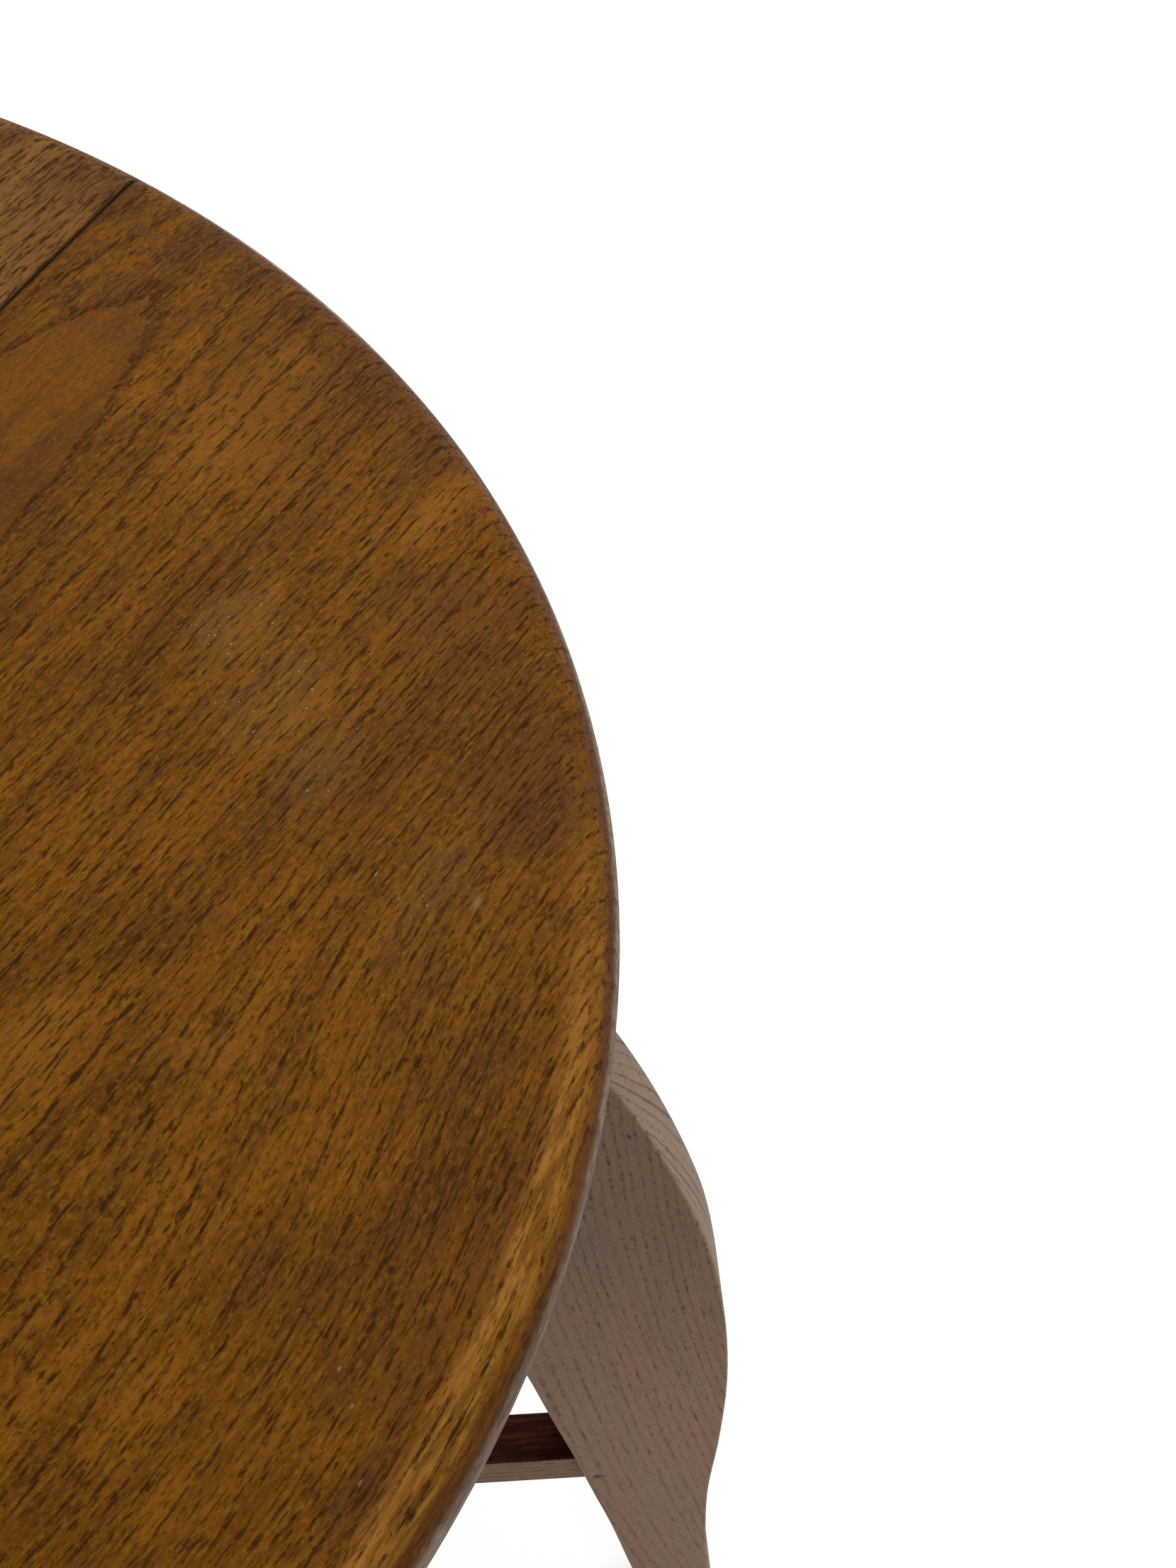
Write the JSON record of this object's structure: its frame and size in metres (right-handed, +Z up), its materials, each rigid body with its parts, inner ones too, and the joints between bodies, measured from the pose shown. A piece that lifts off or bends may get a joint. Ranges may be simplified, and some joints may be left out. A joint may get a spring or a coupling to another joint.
{
  "type": "round coffee table",
  "caption": "Round coffee table: stained oak board top with a rounded pale rim on curved plank legs, tied by crossed rails and slim crossed stretchers.",
  "frame": {"origin": "on the floor, straight under the middle of the round top", "axes": "+Z up; +X runs out along the leg seen in the picture, whose broad face looks along -Y"},
  "size_m": [0.8176, 0.8176, 0.45],
  "materials": {
    "stained_oak": "brown stained and waxed open-grain oak, stain worn pale on the rim",
    "bleached_oak": "matt grey-brown washed oak with dark open pores",
    "dark_oak": "oak with a dark stained upper face and washed sides",
    "beech": "plain unfinished beech",
    "zinc_steel": "dull zinc plate",
    "nylon": "black moulded nylon"
  },
  "bodies": {
    "root": {"top_board_front": "stained_oak", "top_board_middle": "stained_oak", "top_board_back": "stained_oak", "tongue_front": "beech", "tongue_back": "beech", "leg_right": "bleached_oak", "leg_back": "bleached_oak", "leg_left": "bleached_oak", "leg_front": "bleached_oak", "rail_along_x": "bleached_oak", "rail_along_y": "bleached_oak", "stretcher_along_x": "dark_oak", "stretcher_along_y": "dark_oak", "peg_right": "beech", "peg_back": "beech", "peg_left": "beech", "peg_front": "beech", "pin_right": "zinc_steel", "pin_back": "zinc_steel", "pin_left": "zinc_steel", "pin_front": "zinc_steel", "top_screw_1": "zinc_steel", "top_screw_2": "zinc_steel", "top_screw_3": "zinc_steel", "top_screw_4": "zinc_steel", "top_screw_5": "zinc_steel", "top_screw_6": "zinc_steel", "top_screw_7": "zinc_steel", "top_screw_8": "zinc_steel", "glide_right": "nylon", "glide_back": "nylon", "glide_left": "nylon", "glide_front": "nylon"}
  },
  "joints": []
}
